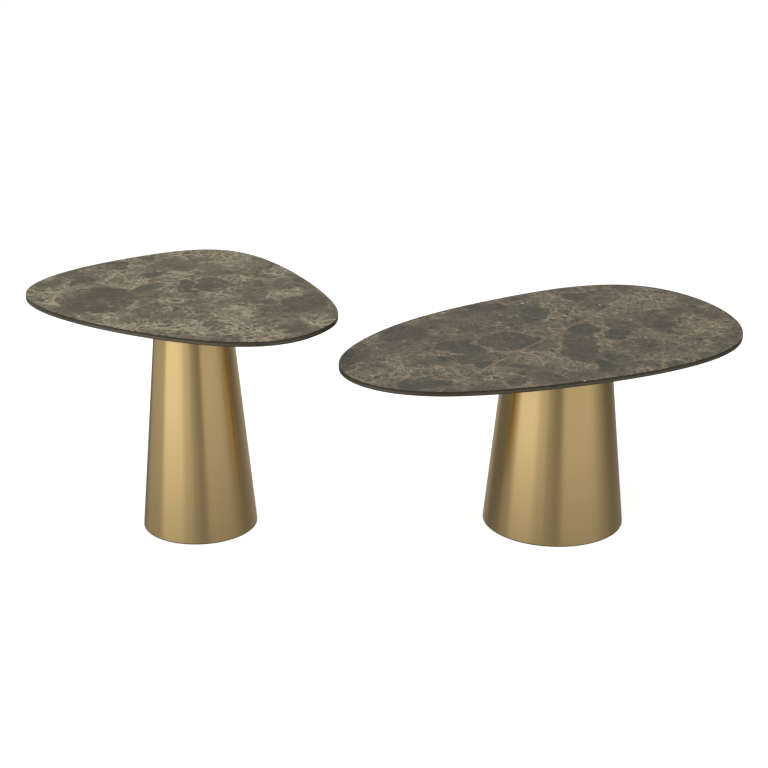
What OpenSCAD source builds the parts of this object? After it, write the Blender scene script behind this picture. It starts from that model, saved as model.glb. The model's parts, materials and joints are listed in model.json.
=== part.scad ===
// A set of two nesting pedestal tables: a tall side table whose pebble-shaped top
// passes over the larger top of a low coffee table.
//
// Each table is a ceramic sheet bonded to a glass panel, on a hollow sheet-metal cone.
// One threaded rod inside the cone pulls the top plate and the ballast plate together,
// and four screw feet under the ballast plate level the table.
//
// The floor is z = 0, and the origin is the middle of the set's outline on the floor.
// Millimetres, +Z up. Every per-table list below is [side table, coffee table].

/* [Heights] */
// Floor to the top face of the side table
side_height = 500; // [416:1:600]
// Floor to the top face of the coffee table
coffee_height = 405; // [337:1:486]

/* [Tops] */
// Width of the side table's top, left to right
side_top_x = 630; // [525:1:756]
// Depth of the side table's top, front to back
side_top_y = 631; // [525:1:758]
// Width of the coffee table's top, left to right
coffee_top_x = 824; // [686:1:989]
// Depth of the coffee table's top, front to back
coffee_top_y = 688; // [573:1:826]
// Thickness of the ceramic sheet
ceramic_t = 3.5; // [3:0.5:6]
// Thickness of the resin film between ceramic and glass
bond_t = 0.5; // [0.3:0.1:1]
// Thickness of the glass panel
glass_t = 6; // [5:1:10]
// How far the resin film stops short of the edge
bond_inset = 0.8; // [0.4:0.2:2]

/* [Where the tables stand] */
// Distance between the two cones' axes, left to right
axis_gap = 738; // [615:1:1100]
// How far the coffee table stands behind the side table
stagger = 17; // [-60:1:60]

/* [Cones] */
// Outside diameter of the side table's cone at its lower edge
side_foot_d = 236; // [196:1:284]
// Outside diameter of the side table's cone under the top
side_neck_d = 148; // [123:1:178]
// Outside diameter of the coffee table's cone at its lower edge
coffee_foot_d = 292; // [243:1:351]
// Outside diameter of the coffee table's cone under the top
coffee_neck_d = 213; // [177:1:256]
// Thickness of the cone's sheet metal
sheet_t = 1.5; // [1:0.1:3]
// Height of the cone's lower edge above the floor
shell_lift = 3; // [2.5:0.5:8]

/* [Plates inside the cone] */
// Thickness of the ballast plate
ballast_t = 20; // [17:1:30]
// Clearance between the ballast plate and the lip of the edge trim
ballast_play = 1.5; // [0.5:0.5:4]
// Thickness of the ring welded inside the cone's foot
ring_t = 5; // [3:1:8]
// Width of that ring
ring_w = 22; // [12:1:30]
// Thickness of the head plate welded inside the cone's neck
head_t = 5; // [4:1:8]
// Thickness of the mount plate screwed under the top
mount_t = 6; // [4:1:8]
// Clearance between the mount plate and the lip of the neck gasket
mount_play = 3; // [1:0.5:6]
// Clearance of a welded plate inside the cone, which the weld fills
weld_gap = 0.2; // [0.1:0.1:0.6]

/* [Fixings under the top] */
// Radius of each steel disc bonded to the glass
disc_r = 18; // [14:1:22]
// Thickness of each bonded disc
disc_t = 6; // [6:0.5:10]
// Margin between a bonded disc and the mount plate's edge
disc_margin = 4; // [1:1:8]
// Radius of the screws into the discs
screw_r = 3; // [2.5:0.1:4]
// Length of thread that each disc holds
screw_grip = 4; // [3:0.5:4.5]
// Depth of tapped hole past the screw's end
tap_spare = 1; // [0.5:0.25:1.5]
// Radius of the screw heads
screw_head_r = 5.25; // [5:0.25:6.5]
// Height of the screw heads
screw_head_h = 3.3; // [2.5:0.1:4]
// Width of the key socket in a screw head, across its flats
key_af = 4; // [2.5:0.5:5]
// Depth of the key socket
key_deep = 1.8; // [1:0.1:2.4]
// Clearance around a screw head in the head plate
head_play = 2.75; // [1:0.25:4]

/* [Tie rod] */
// Radius of the threaded rod
rod_r = 6; // [5:0.1:8]
// Height of the hub that the rod screws into
hub_h = 25; // [23:1:40]
// Wall of the hub around the rod
hub_wall = 6.5; // [4:0.5:9]
// Length of thread held by the hub
hub_grip = 20; // [15:1:21]
// Thickness of the washer
washer_t = 2.5; // [1.5:0.5:3]
// Width of the washer's rim around the rod
washer_rim = 6; // [4:0.5:8]
// Height of the nut
nut_h = 8; // [6:0.5:8]
// Wall of the nut between the rod and each flat
nut_wall = 3.5; // [2.5:0.5:5]
// Length of rod past the nut
rod_spare = 0.5; // [0:0.25:1]
// Depth of the nut's pocket in the ballast plate
pocket_deep = 12; // [11:0.5:14]
// Clearance around the washer in that pocket, for a socket spanner
pocket_play = 4; // [2:0.5:6]

/* [Screw feet] */
// Radius of the foot's pad
pad_r = 14; // [10:1:18]
// Height of the pad
pad_h = 4; // [3.5:0.5:8]
// Depth of the socket in the pad that the stem turns in
socket_deep = 2.5; // [1.5:0.5:3]
// Radius of the threaded stem
stem_r = 4; // [3:0.5:5]
// Length of stem above the pad
stem_l = 18; // [14:1:19]
// Width of the stem's hexagon across its flats
hex_af = 13; // [11:1:15]
// Height of that hexagon
hex_h = 3.5; // [2.5:0.5:4]
// Clearance around the hexagon in the ballast plate
hex_play = 1; // [0.5:0.5:2]
// Margin between a pad and the ballast plate's edge
pad_margin = 10; // [4:1:20]

/* [Rubber and trim] */
// Thickness of the rubber between cone and glass, and of the trim under the cone
trim_t = 1.5; // [1:0.5:2]
// Thickness of the lip that holds either one inside the cone
lip_t = 1.5; // [1:0.25:2]
// Height of that lip
lip_h = 5; // [3:1:8]

/* [Clearances] */
// Radial clearance between a thread and its tapped hole
thread_gap = 0.08; // [0.05:0.01:0.1]
// Radial clearance of a rod or screw in a plain hole
hole_gap = 0.5; // [0.3:0.1:1]
// Clearance between a trim lip and the cone
lip_gap = 0.05; // [0.05:0.05:0.2]

/* [Hidden] */
$fn = 96;
feet = 4;
discs = 4;
// Straight pieces to each span of an outline.
span_steps = 20;
// How far a cut runs past the faces that it opens.
cut = 1;
SIDE = 0;
COFFEE = 1;
TABLES = [SIDE, COFFEE];
TABLE_NAME = ["side", "coffee"];
FEET = [1 : feet];

height = [side_height, coffee_height];
top_x = [side_top_x, coffee_top_x];
top_y = [side_top_y, coffee_top_y];
foot_r = [side_foot_d / 2, coffee_foot_d / 2];
neck_r = [side_neck_d / 2, coffee_neck_d / 2];

// The pebble outlines. Each is a closed uniform cubic B-spline, and these are its control
// points around the cone's axis, counter-clockwise seen from above.
PEBBLE = [
    [[-495, -20], [129, -383], [288, -224], [318, -94], [102, 359], [-109, 322]],
    [[-487, -182], [-350, -347], [-82, -326], [500, -80], [260, 469], [-139, 242], [-352, 72]]
];

// A point of the B-spline span from b to c, at u from 0 to 1, and the direction there.
function span_point(a, b, c, d, u) =
    (pow(1 - u, 3) * a + (3 * pow(u, 3) - 6 * u * u + 4) * b
     + (-3 * pow(u, 3) + 3 * u * u + 3 * u + 1) * c + pow(u, 3) * d) / 6;
function span_slope(a, b, c, d, u) =
    (-pow(1 - u, 2) * a + (3 * u * u - 4 * u) * b
     + (-3 * u * u + 2 * u + 1) * c + u * u * d) / 2;

// Every control point stretched by k about the axis.
function stretched(points, k) = [for (p = points) [p.x * k.x, p.y * k.y]];

// The curve through a control polygon, moved inwards by inset.
function curve(points, inset = 0) =
    let (n = len(points))
    [for (i = [0 : n - 1], s = [0 : span_steps - 1])
        let (a = points[(i + n - 1) % n], b = points[i],
             c = points[(i + 1) % n], d = points[(i + 2) % n],
             u = s / span_steps,
             slope = span_slope(a, b, c, d, u))
        span_point(a, b, c, d, u) + inset * [-slope.y, slope.x] / norm(slope)];

function low(points, k) = min([for (p = points) p[k]]);
function high(points, k) = max([for (p = points) p[k]]);
function extent(points, k) = high(points, k) - low(points, k);

// The outline of a top at the size asked for, around its cone's axis.
function outline(t, inset = 0) =
    let (drawn = curve(PEBBLE[t]),
         k = [top_x[t] / extent(drawn, 0), top_y[t] / extent(drawn, 1)])
    curve(stretched(PEBBLE[t], k), inset);

// Where the cones' axes stand, with the middle of the whole set at the origin.
side_edge = outline(SIDE);
coffee_edge = outline(COFFEE);
set_left = low(side_edge, 0);
set_right = axis_gap + high(coffee_edge, 0);
set_front = min(low(side_edge, 1), stagger + low(coffee_edge, 1));
set_back = max(high(side_edge, 1), stagger + high(coffee_edge, 1));
set_middle = [(set_left + set_right) / 2, (set_front + set_back) / 2];
axis_at = [-set_middle, [axis_gap, stagger] - set_middle];

// Heights that the pieces share, each measured from the floor.
top_t = ceramic_t + bond_t + glass_t;
function glass_z(t) = height[t] - top_t;
function rim_z(t) = glass_z(t) - trim_t;
function disc_z(t) = glass_z(t) - disc_t;
function mount_z(t) = disc_z(t) - mount_t;
function head_z(t) = mount_z(t) - head_t;
function hub_z(t) = mount_z(t) - hub_h;
ballast_z = pad_h;
ballast_top = ballast_z + ballast_t;
pocket_top = ballast_z + pocket_deep;
washer_z = pocket_top - washer_t;
nut_z = washer_z - nut_h;
rod_end_z = nut_z - rod_spare;

// The cone's outside and inside radius at a height.
function cone_r(t, z) =
    foot_r[t] + (neck_r[t] - foot_r[t]) * (z - shell_lift) / (rim_z(t) - shell_lift);
function inside_r(t, z) = cone_r(t, z) - sheet_t;

// Plate sizes, each from the cone that the plate fits in.
function ballast_r(t) = inside_r(t, ballast_top) - lip_t - ballast_play;
function mount_r(t) = inside_r(t, rim_z(t)) - lip_gap - lip_t - mount_play;
function disc_circle(t) = mount_r(t) - disc_r - disc_margin;
function foot_circle(t) = ballast_r(t) - pad_r - pad_margin;
function foot_at(t, k) = foot_circle(t) * [cos(45 + 90 * k), sin(45 + 90 * k)];
function hex_corner_r(across_flats) = across_flats / 2 / cos(30);
washer_r = rod_r + washer_rim;
nut_af = 2 * (rod_r + nut_wall);
pocket_r = washer_r + pocket_play;
hub_r = rod_r + hub_wall;

// Puts a piece that is drawn around its cone's axis where that table stands.
module standing(t) {
    translate([axis_at[t].x, axis_at[t].y, 0]) children();
}

// Places a child at each bonded disc.
module at_discs(t) {
    for (k = [1 : discs])
        rotate(360 / discs * k) translate([disc_circle(t), 0, 0]) children();
}

// Places a child at each screw foot.
module at_feet(t) {
    for (k = FEET) translate(foot_at(t, k)) children();
}

// A layer of the top, from z to z + thick.
module pebble_layer(t, z, thick, inset = 0) {
    translate([0, 0, z]) linear_extrude(thick) polygon(outline(t, inset));
}

// A round bar or hole between two heights.
module round_bar(r, z1, z2) {
    translate([0, 0, z1]) cylinder(r = r, h = z2 - z1);
}

// A six-sided bar between two heights.
module hex_bar(across_flats, z1, z2) {
    translate([0, 0, z1]) cylinder(r = hex_corner_r(across_flats), h = z2 - z1, $fn = 6);
}

// A solid bounded by the cone's slope, inset from its outside, between two heights.
module cone_slice(t, inset, z1, z2) {
    translate([0, 0, z1])
        cylinder(r1 = cone_r(t, z1) - inset, r2 = cone_r(t, z2) - inset, h = z2 - z1);
}

// A ring with an L section: a flange on the cone's edge, and a lip just inside the cone.
module edge_ring(t, flange_z1, flange_z2, edge_z, lip_z1, lip_z2) {
    lip_outside = sheet_t + lip_gap;
    lip_inside = lip_outside + lip_t;
    difference() {
        union() {
            round_bar(cone_r(t, edge_z), flange_z1, flange_z2);
            cone_slice(t, lip_outside, lip_z1, lip_z2);
        }
        cone_slice(t, lip_inside, min(flange_z1, lip_z1) - cut, max(flange_z2, lip_z2) + cut);
    }
}

module ceramic_sheet(t) {
    color("#6e6658") pebble_layer(t, height[t] - ceramic_t, ceramic_t);
}

module bond_film(t) {
    color("#1c1a17") pebble_layer(t, glass_z(t) + glass_t, bond_t, bond_inset);
}

module glass_panel(t) {
    color("#3a352c") pebble_layer(t, glass_z(t), glass_t);
}

// Steel discs bonded to the glass, each with a blind tapped hole from below.
module bonded_discs(t) {
    tap_end = disc_z(t) + screw_grip + tap_spare;
    color("#c8c8c8") at_discs(t) difference() {
        round_bar(disc_r, disc_z(t), glass_z(t));
        round_bar(screw_r + thread_gap, disc_z(t) - cut, tap_end);
    }
}

module mount_plate(t) {
    color("#202020") difference() {
        round_bar(mount_r(t), mount_z(t), disc_z(t));
        at_discs(t) round_bar(screw_r + hole_gap, mount_z(t) - cut, disc_z(t) + cut);
    }
}

// Button-headed screws, their heads below the mount plate.
module mount_screws(t) {
    head_bottom = mount_z(t) - screw_head_h;
    color("#b0b0b0") at_discs(t) difference() {
        union() {
            round_bar(screw_r, head_bottom, disc_z(t) + screw_grip);
            round_bar(screw_head_r, head_bottom, mount_z(t));
        }
        hex_bar(key_af, head_bottom - cut, head_bottom + key_deep);
    }
}

// The tapped hub under the mount plate, which the tie rod screws into.
module rod_hub(t) {
    tap_end = hub_z(t) + hub_grip + tap_spare;
    color("#8c8c8c") difference() {
        round_bar(hub_r, hub_z(t), mount_z(t));
        round_bar(rod_r + thread_gap, hub_z(t) - cut, tap_end);
    }
}

// The rubber ring that keeps the cone's rim off the glass.
module neck_gasket(t) {
    color("#151515")
        edge_ring(t, rim_z(t), glass_z(t), rim_z(t), rim_z(t) - lip_h, rim_z(t));
}

// The visible pedestal: rolled and brushed sheet, open at both ends.
module cone_shell(t) {
    color("#b4975f") difference() {
        cone_slice(t, 0, shell_lift, rim_z(t));
        cone_slice(t, sheet_t, shell_lift - cut, rim_z(t) + cut);
    }
}

// The plate welded inside the neck. The mount plate lies on it, and its four large
// holes clear the screw heads, so they also keep the top from turning.
module head_plate(t) {
    color("#505050") difference() {
        round_bar(inside_r(t, mount_z(t)) - weld_gap, head_z(t), mount_z(t));
        round_bar(hub_r + hole_gap, head_z(t) - cut, mount_z(t) + cut);
        at_discs(t) round_bar(screw_head_r + head_play, head_z(t) - cut, mount_z(t) + cut);
    }
}

// The ring welded inside the foot, which the ballast plate is pulled up against.
module foot_ring(t) {
    ring_top = ballast_top + ring_t;
    ring_r = inside_r(t, ring_top) - weld_gap;
    color("#505050") difference() {
        round_bar(ring_r, ballast_top, ring_top);
        round_bar(ring_r - ring_w, ballast_top - cut, ring_top + cut);
    }
}

// The heavy plate in the foot, tapped for the feet and pocketed for the nut.
module ballast_plate(t) {
    hex_pocket_top = ballast_z + hex_h + hex_play;
    color("#303030") difference() {
        round_bar(ballast_r(t), ballast_z, ballast_top);
        round_bar(rod_r + hole_gap, ballast_z - cut, ballast_top + cut);
        round_bar(pocket_r, ballast_z - cut, pocket_top);
        at_feet(t) {
            round_bar(stem_r + thread_gap, ballast_z - cut, ballast_top + cut);
            round_bar(hex_corner_r(hex_af) + hex_play, ballast_z - cut, hex_pocket_top);
        }
    }
}

// The plastic trim over the cone's sharp lower edge.
module edge_trim(t) {
    color("#151515")
        edge_ring(t, shell_lift - trim_t, shell_lift, shell_lift, shell_lift,
                  shell_lift + lip_h);
}

module tie_rod(t) {
    color("#b8b8b8") round_bar(rod_r, rod_end_z, hub_z(t) + hub_grip);
}

module rod_washer(t) {
    color("#b8b8b8") difference() {
        round_bar(washer_r, washer_z, pocket_top);
        round_bar(rod_r + hole_gap, washer_z - cut, pocket_top + cut);
    }
}

module rod_nut(t) {
    color("#b8b8b8") difference() {
        hex_bar(nut_af, nut_z, washer_z);
        round_bar(rod_r + thread_gap, nut_z - cut, washer_z + cut);
    }
}

// The part of a foot that stands on the floor and doesn't turn.
module foot_pad(t, k) {
    color("#101010") translate(foot_at(t, k)) difference() {
        round_bar(pad_r, 0, pad_h);
        round_bar(stem_r + thread_gap, pad_h - socket_deep, pad_h + cut);
    }
}

// The threaded stem, which turns in its pad and in the ballast plate.
module foot_stem(t, k) {
    color("#a8a8a8") translate(foot_at(t, k)) {
        round_bar(stem_r, pad_h - socket_deep, pad_h + stem_l);
        hex_bar(hex_af, pad_h, pad_h + hex_h);
    }
}

for (t = TABLES) {
    name = TABLE_NAME[t];
    standing(t) ceramic_sheet(t);
    standing(t) bond_film(t);
    standing(t) glass_panel(t);
    standing(t) bonded_discs(t);
    standing(t) mount_plate(t);
    standing(t) mount_screws(t);
    standing(t) rod_hub(t);
    standing(t) neck_gasket(t);
    standing(t) cone_shell(t);
    standing(t) head_plate(t);
    standing(t) foot_ring(t);
    standing(t) ballast_plate(t);
    standing(t) edge_trim(t);
    standing(t) tie_rod(t);
    standing(t) rod_washer(t);
    standing(t) rod_nut(t);
    for (k = FEET) {
        standing(t) foot_pad(t, k);
        standing(t) foot_stem(t, k);
    }
}
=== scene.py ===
# %% [markdown]
# # Two nesting tables
#
# A tall side table and a low coffee table, each a pebble-shaped stone-look top on a
# hollow cone of brushed brass. The taller top passes over the lower one.
#
# The CAD model comes in as a fixed frame: it says where every piece is and which body
# it moves with. This lesson makes the pieces that show their surfaces closely as new
# meshes, worked out with numpy, and gives every piece a finish made of shader nodes.

# %% Load the frame
import json
import math

import bmesh
import bpy
import numpy as np
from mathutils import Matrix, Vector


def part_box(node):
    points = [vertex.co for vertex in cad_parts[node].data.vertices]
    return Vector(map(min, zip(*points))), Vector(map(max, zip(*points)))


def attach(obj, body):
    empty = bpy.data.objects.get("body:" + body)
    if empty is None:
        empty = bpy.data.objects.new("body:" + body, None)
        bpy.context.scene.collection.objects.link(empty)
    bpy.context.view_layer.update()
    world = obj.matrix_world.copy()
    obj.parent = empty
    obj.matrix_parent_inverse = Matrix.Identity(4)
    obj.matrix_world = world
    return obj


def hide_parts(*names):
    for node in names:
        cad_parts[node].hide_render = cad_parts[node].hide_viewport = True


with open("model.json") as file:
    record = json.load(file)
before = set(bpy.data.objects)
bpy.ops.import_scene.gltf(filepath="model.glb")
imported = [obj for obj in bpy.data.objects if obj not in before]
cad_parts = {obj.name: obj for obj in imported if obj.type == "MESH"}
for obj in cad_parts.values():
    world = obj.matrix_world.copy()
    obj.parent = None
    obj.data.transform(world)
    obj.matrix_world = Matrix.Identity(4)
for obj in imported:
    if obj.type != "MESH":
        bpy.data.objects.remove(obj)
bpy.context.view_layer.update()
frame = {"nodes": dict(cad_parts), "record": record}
TABLES = ("side", "coffee")
MM = 0.001

# %% [markdown]
# ## The camera
#
# A long lens from above and in front keeps both outlines calm, as a catalogue view
# does. A camera could be aimed with a constraint, but a place and one tilt are enough:
# it stands level, within a centimetre of the set's middle line, and looks down by 20
# degrees.

# %% Camera
CAMERA_AT = (-0.0091, -3.3187, 1.5061)
LOOKS_DOWN = math.radians(20.053)
LENS_MM = 80.52
SENSOR_MM = 36.0
SEES_TO = 200.0

camera_data = bpy.data.cameras.new("camera")
camera_data.lens = LENS_MM
camera_data.sensor_width = SENSOR_MM
camera_data.clip_end = SEES_TO
camera = bpy.data.objects.new("camera", camera_data)
camera.location = CAMERA_AT
camera.rotation_euler = (math.pi / 2 - LOOKS_DOWN, 0.0, 0.0)
scene = bpy.context.scene
scene.collection.objects.link(camera)
scene.camera = camera
scene.view_settings.view_transform = "Standard"
print("camera", CAMERA_AT, "lens", LENS_MM)

# %% [markdown]
# ## Meshes from arrays
#
# Every new piece is a grid of points: rows along a section, columns around a path. The
# points of a whole grid are worked out at once, and foreach_set writes them into the
# mesh without a Python loop. Where a section starts or ends on the axis, the row
# shrinks to a single point, and a fan of triangles closes the surface there.


# %% Grid meshes
def grid_faces(rows, columns, section_closed):
    """Four-cornered faces of a grid whose columns close into a ring.

    Face (r, c) joins points (r, c), (r, c+1), (r+1, c+1) and (r+1, c), counted round
    the ring, and round the section too if that is closed."""
    last = rows if section_closed else rows - 1
    r, c = np.meshgrid(np.arange(last), np.arange(columns), indexing="ij")
    r2, c2 = (r + 1) % rows, (c + 1) % columns
    corners = (r * columns + c, r * columns + c2, r2 * columns + c2, r2 * columns + c)
    return np.stack(corners, -1).reshape(-1, 4)


def fan_faces(ring, pole, turned_over):
    """Triangles between a ring of point numbers and the one point that closes it."""
    after = np.roll(ring, -1)
    middle = np.full(len(ring), pole)
    order = (after, ring, middle) if turned_over else (ring, after, middle)
    return np.stack(order, -1)


def mesh_piece(name, points, quads, triangles=None, uv=None):
    """A smooth-shaded mesh object from arrays of points, quads, triangles and UVs."""
    kinds = [quads] if triangles is None else [quads, triangles]
    corners = np.concatenate([faces.ravel() for faces in kinds]).astype(np.int32)
    sizes = np.concatenate([np.full(len(faces), faces.shape[1]) for faces in kinds]).astype(np.int32)
    mesh = bpy.data.meshes.new(name)
    mesh.vertices.add(len(points))
    mesh.vertices.foreach_set("co", np.asarray(points, np.float32).ravel())
    mesh.loops.add(len(corners))
    mesh.loops.foreach_set("vertex_index", corners)
    mesh.polygons.add(len(sizes))
    starts = np.concatenate([[0], np.cumsum(sizes)[:-1]]).astype(np.int32)
    mesh.polygons.foreach_set("loop_start", starts)
    mesh.polygons.foreach_set("use_smooth", np.ones(len(sizes), bool))
    if uv is not None:
        layer = mesh.uv_layers.new(name="around_and_up")
        layer.data.foreach_set("uv", np.asarray(uv, np.float32).ravel())
    mesh.update(calc_edges=True)
    mesh.validate()
    piece = bpy.data.objects.new(name, mesh)
    scene.collection.objects.link(piece)
    return piece


def ring_mesh(name, rings, section_closed=False, first_pole=None, last_pole=None):
    """A piece from an array of rings (rows, columns, 3), outward for a counter-clockwise
    ring whose section runs from the top outwards and down."""
    rows, columns = rings.shape[:2]
    points, fans = [rings.reshape(-1, 3)], []
    for pole, row in ((first_pole, 0), (last_pole, rows - 1)):
        if pole is not None:
            ring = row * columns + np.arange(columns)
            fans.append(fan_faces(ring, rows * columns + len(fans), turned_over=row > 0))
            points.append(np.reshape(pole, (1, 3)))
    quads = grid_faces(rows, columns, section_closed)[:, ::-1]
    return mesh_piece(name, np.concatenate(points), quads, np.concatenate(fans) if fans else None)


print("a grid of 3 rings of 8 points has", len(grid_faces(3, 8, False)), "faces")


# %% [markdown]
# ## Sections with softened corners
#
# Nothing that is cast, pressed or ground has a perfectly sharp edge, and it is the thin
# highlight along an edge that makes a piece look real. The Bevel modifier could round
# them, but here the section itself gets an arc at each corner, so that the size of
# each rounding is exact.


# %% Rounded sections
NEARLY_NOTHING = 1e-9


def unit(v):
    """Each row of v divided by its length."""
    return v / np.linalg.norm(v, axis=-1, keepdims=True)


def rounded(corners, steps=5, closed=True):
    """A section with an arc in place of each corner (a, z, radius).

    The arc's centre lies on the corner's bisector, at radius over the sine of half the
    corner's angle, and its points turn evenly from one side's normal to the other's."""
    corners = np.asarray(corners, float)
    place, radius = corners[:, :2], corners[:, 2]
    back = np.roll(place, 1, 0) - place
    ahead = np.roll(place, -1, 0) - place
    if not closed:
        back[0], ahead[-1] = -ahead[0], -back[-1]
        inner = slice(1, -1)
    else:
        inner = slice(None)
    back, ahead = unit(back[inner]), unit(ahead[inner])
    at, r = place[inner], radius[inner, None]
    half = np.arccos(np.clip((back * ahead).sum(1), -1, 1))[:, None] / 2
    centre = at + unit(back + ahead) * r / np.sin(half)
    first = at + back * r / np.tan(half) - centre
    last = at + ahead * r / np.tan(half) - centre
    turn = (math.pi - 2 * half)[:, :, None]
    t = np.linspace(0, 1, steps)[None, :, None]
    arc = np.sin((1 - t) * turn) * first[:, None] + np.sin(t * turn) * last[:, None]
    arcs = (centre[:, None] + arc / np.sin(turn)).reshape(-1, 2)
    return arcs if closed else np.concatenate([place[:1], arcs, place[-1:]])


def angles(columns, start=0.0):
    """Evenly spaced angles of one full turn."""
    return start + np.arange(columns) / columns * 2 * math.pi


def carried(radii, heights, centre, columns, start=0.0):
    """Rings (rows, columns, 3) round the upright axis through centre.

    A point lies at centre + radius * (cosine, sine) of its angle, at its row's height.
    There is one radius for each row, or one for each point."""
    angle = angles(columns, start)
    radii = np.asarray(radii, float).reshape(len(heights), -1)
    x = centre[0] + radii * np.cos(angle)
    y = centre[1] + radii * np.sin(angle)
    z = np.repeat(np.asarray(heights, float)[:, None], columns, 1)
    return np.stack([x, y, z], -1)


def turned(name, section, centre, columns=96, closed=False):
    """A piece turned on a lathe: each point (radius, height) of the section is carried
    once around the upright axis through centre. A point on the axis closes it."""
    section = np.asarray(section, float)
    on_axis = section[:, 0] < NEARLY_NOTHING
    body = section[~on_axis]
    top = (*centre, section[0, 1]) if on_axis[0] else None
    bottom = (*centre, section[-1, 1]) if on_axis[-1] else None
    return ring_mesh(name, carried(body[:, 0], body[:, 1], centre, columns), closed, top, bottom)


print("a square with rounded corners has", len(rounded([(0, 0, 1), (9, 0, 1), (9, 9, 1), (0, 9, 1)])),
      "points")


# %% [markdown]
# ## Where things are
#
# The CAD pieces give every place and size. A table's axis is the middle of its tie
# rod, and the shape of its top is read from the flat outline of its ceramic sheet.


# %% Places from the frame
def middle_of(node):
    """The middle of a node's box seen from above, (x, y)."""
    low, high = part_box(node)
    return np.array(((low.x + high.x) / 2, (low.y + high.y) / 2))


AXIS = {table: middle_of(f"{table}_tie_rod") for table in TABLES}
FACE = {table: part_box(f"{table}_ceramic_sheet")[1].z for table in TABLES}
for table in TABLES:
    print(table, "axis", AXIS[table].round(4), "top at", round(FACE[table], 4))

# %% [markdown]
# ## The outline of a top
#
# The outline could be drawn again as a curve, but the CAD mesh already holds it, as a
# polygon. A Fourier series turns the polygon's corners into one smooth closed line.


# %% Outlines
def place_points(node):
    """A node's mesh points as an array."""
    mesh = frame["nodes"][node].data
    flat = np.zeros(len(mesh.vertices) * 3, np.float32)
    mesh.vertices.foreach_get("co", flat)
    return flat.reshape(-1, 3).astype(float)


def pebble_outline(table, count=480):
    """A smooth closed outline (count, 2) of a table's top, counter-clockwise.

    The CAD outline's corners are put in order by their angle round the cone's axis.
    They are evenly spaced in the curve's own parameter, so their Fourier series, with
    zeros added for the missing high terms, is the smooth curve through all of them."""
    flat = np.unique(place_points(f"{table}_ceramic_sheet")[:, :2].round(6), axis=0)
    off = flat - AXIS[table]
    corners = flat[np.argsort(np.arctan2(off[:, 1], off[:, 0]))]
    n = len(corners)
    series = np.fft.fft(corners[:, 0] + 1j * corners[:, 1])
    full = np.zeros(count, complex)
    half = n // 2
    full[:half] = series[:half]
    full[-half + 1:] = series[-half + 1:]
    curve = np.fft.ifft(full) * count / n
    outline = np.stack([curve.real, curve.imag], -1)
    share = (outline - outline.min(0)) / (outline.max(0) - outline.min(0))
    return flat.min(0) + share * (flat.max(0) - flat.min(0))


def inward_normals(outline):
    """The unit normal at each point of a closed counter-clockwise outline, pointing in."""
    along = np.roll(outline, -1, 0) - np.roll(outline, 1, 0)
    return unit(np.stack([-along[:, 1], along[:, 0]], -1))


PEBBLE = {table: pebble_outline(table) for table in TABLES}
for table in TABLES:
    print(table, "top", (PEBBLE[table].max(0) - PEBBLE[table].min(0)).round(4))

# %% [markdown]
# ## The tops
#
# Each top is a thin ceramic sheet glued to a glass panel of the same outline. It could
# be one extruded slab, but the real edge shows its layers: two ground edges with a
# fine dark groove between them. So each layer is its own slab: an edge section with
# small arcs is carried along the smooth outline, and flat rings close it to the middle.


# %% Slabs
FLAT_RINGS = np.array([0.2, 0.45, 0.7, 0.9, 0.98])
ARRISES_MM = {"ceramic_sheet": (0.8, 0.35), "glass_panel": (0.4, 0.8)}


def slab(name, outline, z_low, z_high, upper_arris, lower_arris):
    """A flat slab with rounded arrises, closed above and below.

    Edge rings lie at (inset, height) from the outline along its inward normals; the
    flat rings between them and the middle are the outline shrunk towards its centre."""
    normals = inward_normals(outline)
    deep = 3 * max(upper_arris, lower_arris)
    edge = rounded([(deep, z_high, 0), (0, z_high, upper_arris),
                    (0, z_low, lower_arris), (deep, z_low, 0)], steps=7, closed=False)
    inset, z = edge[:, 0], edge[:, 1]
    rings = outline[None] + inset[:, None, None] * normals[None]
    middle = outline.mean(0)
    inner = outline + deep * normals
    flat = middle + (inner - middle)[None] * FLAT_RINGS[:, None, None]
    plan = np.concatenate([flat, rings, flat[::-1]])
    level = np.ones(len(FLAT_RINGS))
    heights = np.concatenate([level * z_high, z, level * z_low])
    tall = np.repeat(heights[:, None], len(outline), 1)
    points = np.concatenate([plan, tall[:, :, None]], -1)
    return ring_mesh(name, points, False, (*middle, z_high), (*middle, z_low))


def stand_in(piece, node, body):
    """Lets a new piece take a CAD node's place and move with its body."""
    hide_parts(node)
    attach(piece, body)
    return piece


tops = {}
for table in TABLES:
    for layer, (upper, lower) in ARRISES_MM.items():
        node = f"{table}_{layer}"
        low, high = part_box(node)
        piece = slab(f"{node}_slab", PEBBLE[table], low.z, high.z, upper * MM, lower * MM)
        tops[node] = stand_in(piece, node, f"{table}_table")
        print(node, "faces", len(piece.data.polygons))

# %% [markdown]
# ## The cones
#
# A cone is sheet metal rolled up, welded along one upright seam and then brushed round
# and round while it turns. The surface is the same for every angle, so it is a section
# carried around the axis, starting at the weld, which is at the back. It also gets a UV
# map: u runs up the slope and v around it, because the brushing has to follow the metal.


# %% Cones
AT_THE_BACK = math.pi / 2


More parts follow.
